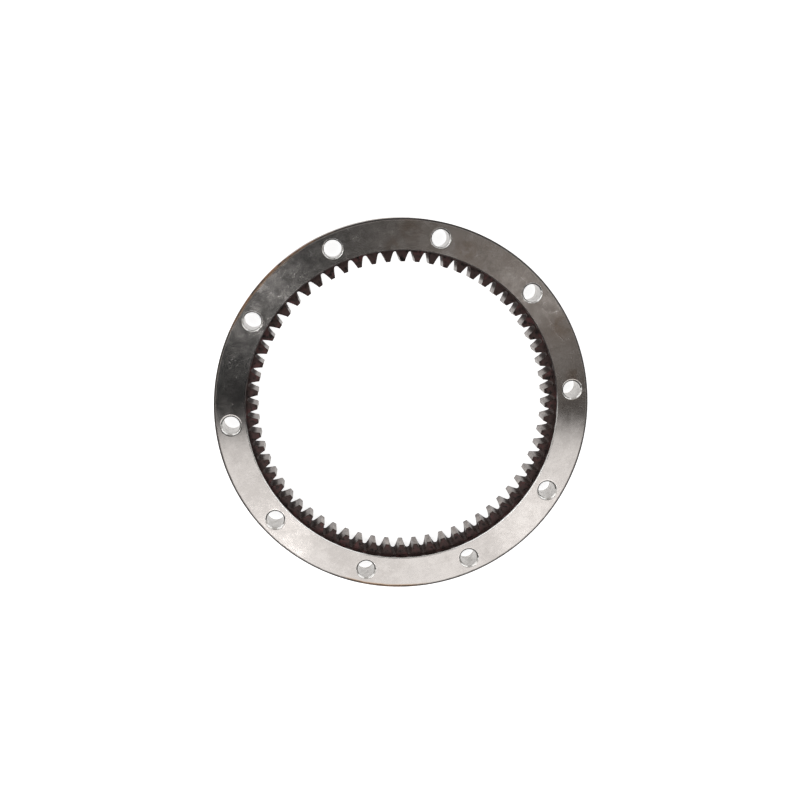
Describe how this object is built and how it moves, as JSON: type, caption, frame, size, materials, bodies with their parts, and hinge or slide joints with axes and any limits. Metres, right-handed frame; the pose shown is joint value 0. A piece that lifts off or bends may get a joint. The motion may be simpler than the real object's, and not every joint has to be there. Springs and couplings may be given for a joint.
{
  "type": "internal ring gear",
  "caption": "Flat steel ring gear with internal spur teeth, a recessed tooth face and a circle of bolt holes through its rim.",
  "frame": {"origin": "on the gear's axis, at its flat back face, which it rests on", "axes": "+Z along the gear's axis, from the back face to the recessed front face; +X through the middle of one bolt hole and of one tooth"},
  "size_m": [0.321, 0.321, 0.03],
  "materials": {
    "machined_steel": "turned and ground faces, bare steel, with darker oiled tooth ends"
  },
  "bodies": {
    "root": {"ring_gear": "machined_steel"}
  },
  "joints": []
}
